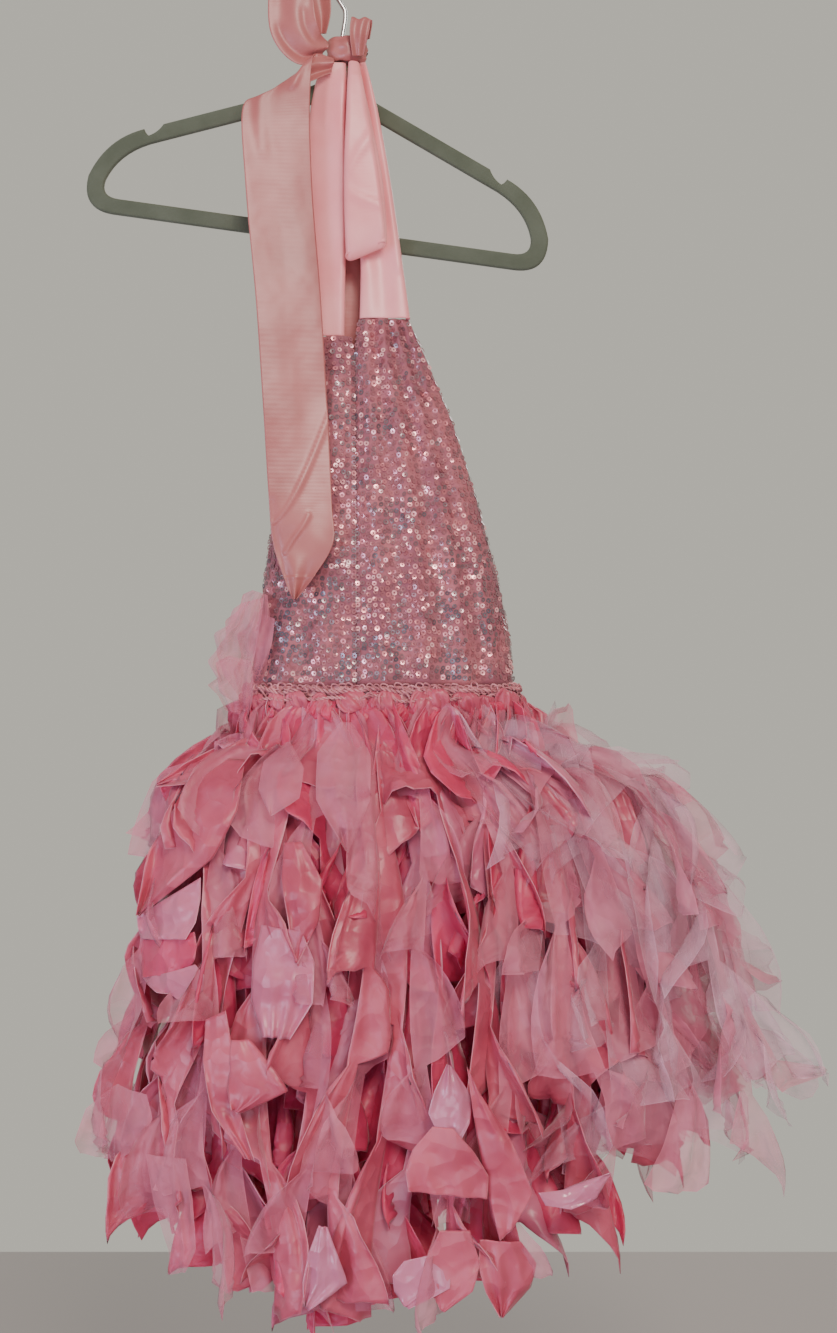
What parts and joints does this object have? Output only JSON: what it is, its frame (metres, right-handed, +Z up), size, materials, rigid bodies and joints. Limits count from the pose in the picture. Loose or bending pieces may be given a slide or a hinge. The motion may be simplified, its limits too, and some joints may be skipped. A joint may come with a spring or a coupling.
{
  "type": "halter tutu dance costume on a coat hanger",
  "caption": "Child's halter tutu costume: sequinned bodice, ribbon straps tied in a bow round a hanger's hook, and a skirt of wavy satin and organza strips.",
  "frame": {"origin": "point of the hook's inside that rests on the rail", "axes": "+Z up, -Y towards someone who faces the costume's front, +X to that person's right"},
  "size_m": [0.5463, 0.23, 1.019],
  "materials": {
    "satin_ribbon": "dusty pink double-faced satin ribbon",
    "sequin_fabric": "pink stretch tulle covered in rows of rose metallic sequins",
    "crochet_elastic": "pink crocheted elastic with knotted strips",
    "skirt_satin": "pink satin, glossy on its folds",
    "skirt_organza": "sheer mauve-pink organza",
    "flocked_plastic": "sage green flock on moulded plastic",
    "hook_chrome": "bright chromed wire"
  },
  "bodies": {
    "root": {"hanger_body": "flocked_plastic", "hanger_hook": "hook_chrome", "bow_knot": "satin_ribbon", "bow_loop_up": "satin_ribbon", "bow_loop_down": "satin_ribbon", "bow_loop_small": "satin_ribbon", "tail_front": "satin_ribbon", "tail_back": "satin_ribbon", "strap_left": "satin_ribbon", "strap_right": "satin_ribbon", "bodice_front_left": "sequin_fabric", "bodice_front_right": "sequin_fabric", "back_band": "sequin_fabric", "waistband": "crochet_elastic", "side_puff": "skirt_organza", "skirt_inner": "skirt_satin", "skirt_middle": "skirt_satin", "skirt_outer": "skirt_organza"}
  },
  "joints": []
}
